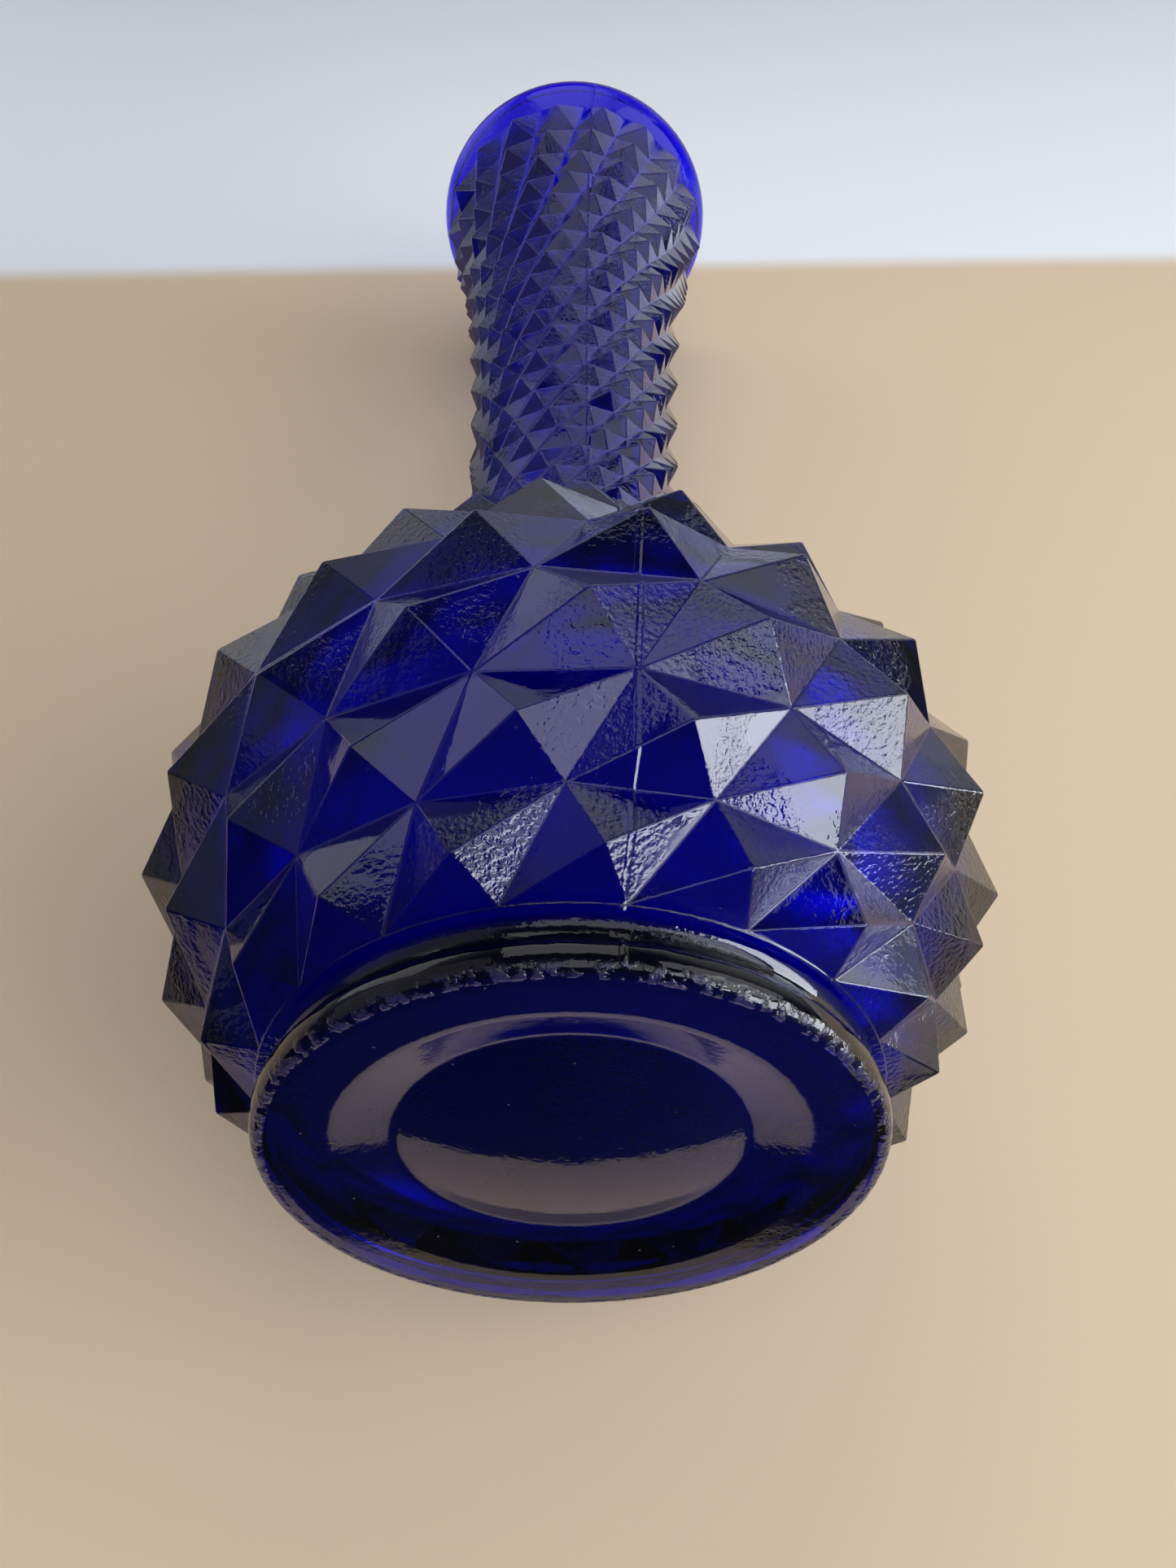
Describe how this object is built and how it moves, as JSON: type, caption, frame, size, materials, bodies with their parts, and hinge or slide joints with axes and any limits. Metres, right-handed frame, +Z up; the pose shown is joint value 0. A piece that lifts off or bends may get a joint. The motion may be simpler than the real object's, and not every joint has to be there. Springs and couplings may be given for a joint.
{
  "type": "vase",
  "caption": "Pressed-glass vase with a hollow foot, a wide belly and a long flared neck, covered in a twisted lattice of pyramids. It lies on its side.",
  "frame": {"origin": "on the surface that the vase lies on, under the middle of its box", "axes": "+Z up with the vase lying on its side, +Y along its length from the foot to the mouth (the vase's own axis dips 4.5 degrees towards the mouth, because the belly is wider), +X to the right seen from the foot"},
  "size_m": [0.099, 0.264, 0.0988],
  "materials": {
    "cobalt_glass": "fire-polished pressed glass, cobalt blue through its thickness, glossy, with slightly rounded ridges"
  },
  "bodies": {
    "root": {"pressed_glass_vase": "cobalt_glass"}
  },
  "joints": []
}
